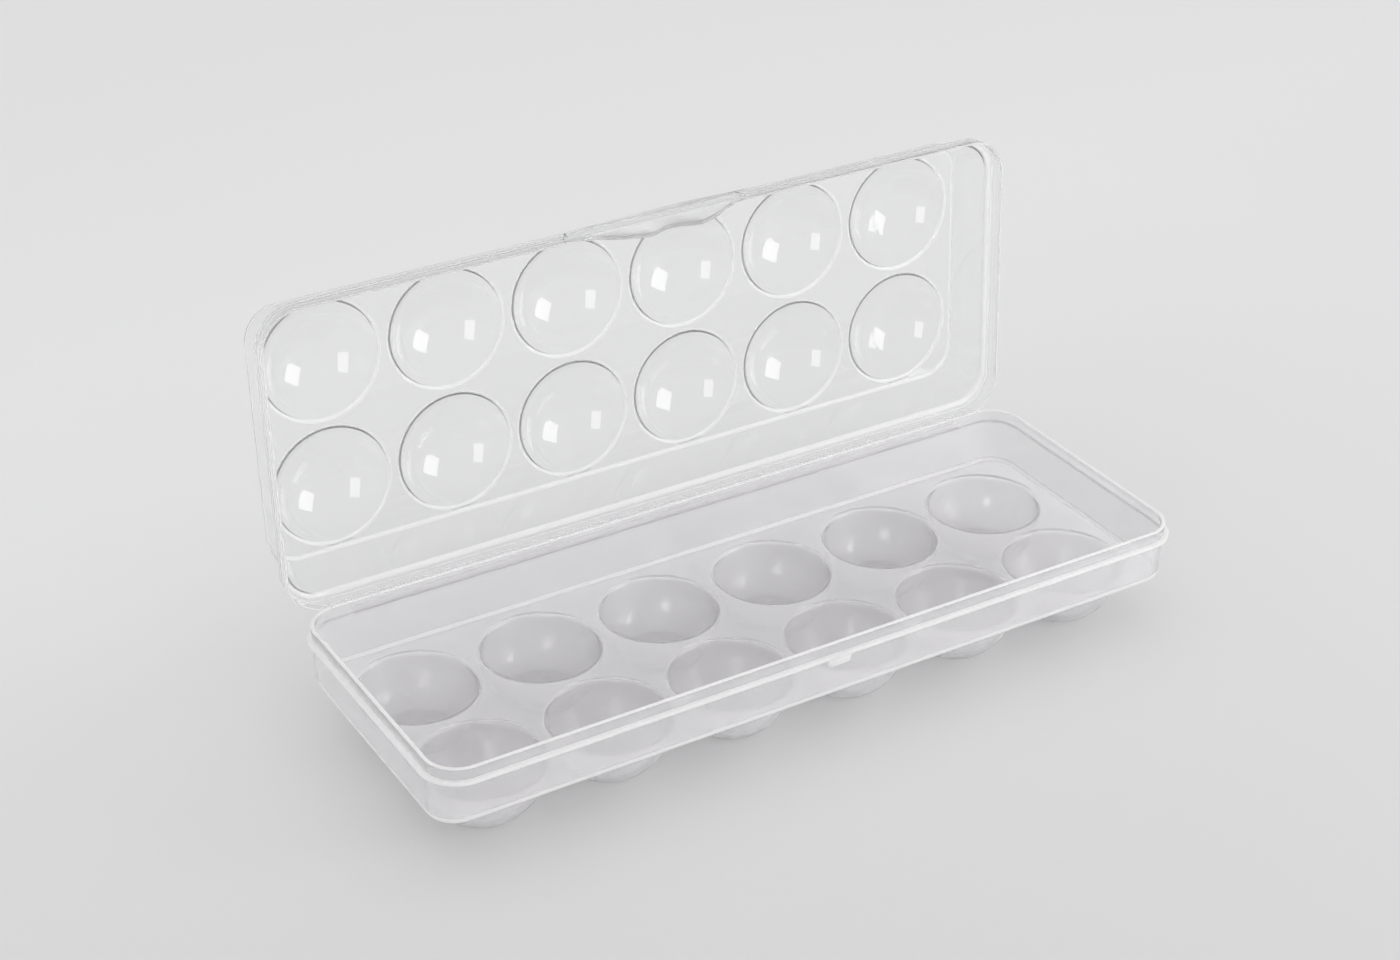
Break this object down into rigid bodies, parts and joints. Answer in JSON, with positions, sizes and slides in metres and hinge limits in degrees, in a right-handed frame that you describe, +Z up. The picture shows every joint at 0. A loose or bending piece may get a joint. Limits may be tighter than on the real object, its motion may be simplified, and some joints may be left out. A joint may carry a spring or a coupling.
{
  "type": "egg keeper",
  "caption": "Long egg keeper: rounded cups hang under a shallow tray, and a clear flip lid with matching domes is hinged along the back.",
  "frame": {"origin": "on the table, in the middle of the twelve cup feet, under the centre of the tray", "axes": "+X along the length, to the right as seen from the latch side; -Y the latch side, +Y the hinge side; +Z up"},
  "size_m": [0.2922, 0.1528, 0.1468],
  "materials": {
    "tray_plastic": "milky translucent, satin",
    "lid_plastic": "clear, glossy"
  },
  "bodies": {
    "tray": {"base_wall": "tray_plastic", "base_rim": "tray_plastic", "base_ledge": "tray_plastic", "tray_floor": "tray_plastic", "latch_catch": "tray_plastic", "hinge_strip": "tray_plastic", "egg_cup_front_1": "tray_plastic", "egg_cup_front_2": "tray_plastic", "egg_cup_front_3": "tray_plastic", "egg_cup_front_4": "tray_plastic", "egg_cup_front_5": "tray_plastic", "egg_cup_front_6": "tray_plastic", "egg_cup_rear_1": "tray_plastic", "egg_cup_rear_2": "tray_plastic", "egg_cup_rear_3": "tray_plastic", "egg_cup_rear_4": "tray_plastic", "egg_cup_rear_5": "tray_plastic", "egg_cup_rear_6": "tray_plastic"},
    "lid": {"lid_skirt": "lid_plastic", "lid_shoulder": "lid_plastic", "lid_wall": "lid_plastic", "lid_panel": "lid_plastic", "latch_tab": "lid_plastic", "lid_dome_front_1": "lid_plastic", "lid_dome_front_2": "lid_plastic", "lid_dome_front_3": "lid_plastic", "lid_dome_front_4": "lid_plastic", "lid_dome_front_5": "lid_plastic", "lid_dome_front_6": "lid_plastic", "lid_dome_rear_1": "lid_plastic", "lid_dome_rear_2": "lid_plastic", "lid_dome_rear_3": "lid_plastic", "lid_dome_rear_4": "lid_plastic", "lid_dome_rear_5": "lid_plastic", "lid_dome_rear_6": "lid_plastic"}
  },
  "joints": [
    {"name": "lid_hinge", "type": "hinge", "parent": "tray", "child": "lid", "pos_m": [0, 0.055, 0.03558], "axis": [-1, 0, 0], "range_deg": [-93.6, 80]}
  ]
}
